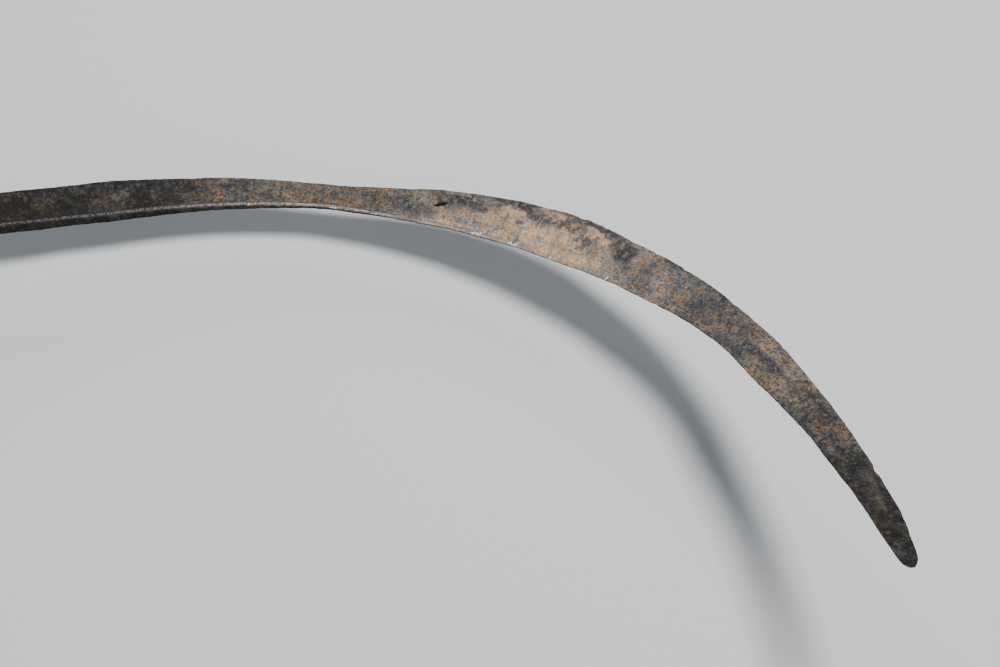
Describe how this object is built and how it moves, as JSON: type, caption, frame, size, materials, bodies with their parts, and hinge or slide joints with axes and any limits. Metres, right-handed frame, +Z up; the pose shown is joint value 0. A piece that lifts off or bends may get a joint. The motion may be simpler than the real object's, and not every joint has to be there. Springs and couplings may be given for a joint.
{
  "type": "hook knife",
  "caption": "Hand-forged knife with a long, narrow, rusted blade that sweeps back and then hooks forward, on a two-part riveted wooden handle with an iron bolster.",
  "frame": {"origin": "on the flat underside of the handle, on its centre line, midway between the front and the middle rivet", "axes": "+X from the handle to the blade, +Z up out of the floor that the knife lies on; the hook turns towards -Y and its tip rises towards +Z"},
  "size_m": [0.3052, 0.0702, 0.046],
  "materials": {
    "blade_steel": "hand-forged, granular brown rust with dark scale, ground bright along the edge",
    "handle_wood": "oiled hardwood, worn and darkened by hand",
    "bolster_iron": "filed iron with a brown patina",
    "rivet_iron": "hammered rivet heads, dull",
    "brass_fittings": "tarnished brass"
  },
  "bodies": {
    "root": {"blade": "blade_steel", "scale_upper": "handle_wood", "scale_lower": "handle_wood", "bolster_upper": "bolster_iron", "bolster_lower": "bolster_iron", "bolster_pin_left": "rivet_iron", "bolster_pin_right": "rivet_iron", "hanging_tube": "brass_fittings", "rivet_front": "rivet_iron", "burr_upper_front": "brass_fittings", "burr_lower_front": "brass_fittings", "rivet_middle": "rivet_iron", "burr_upper_middle": "brass_fittings", "burr_lower_middle": "brass_fittings", "rivet_rear": "rivet_iron", "burr_upper_rear": "brass_fittings", "burr_lower_rear": "brass_fittings"}
  },
  "joints": []
}
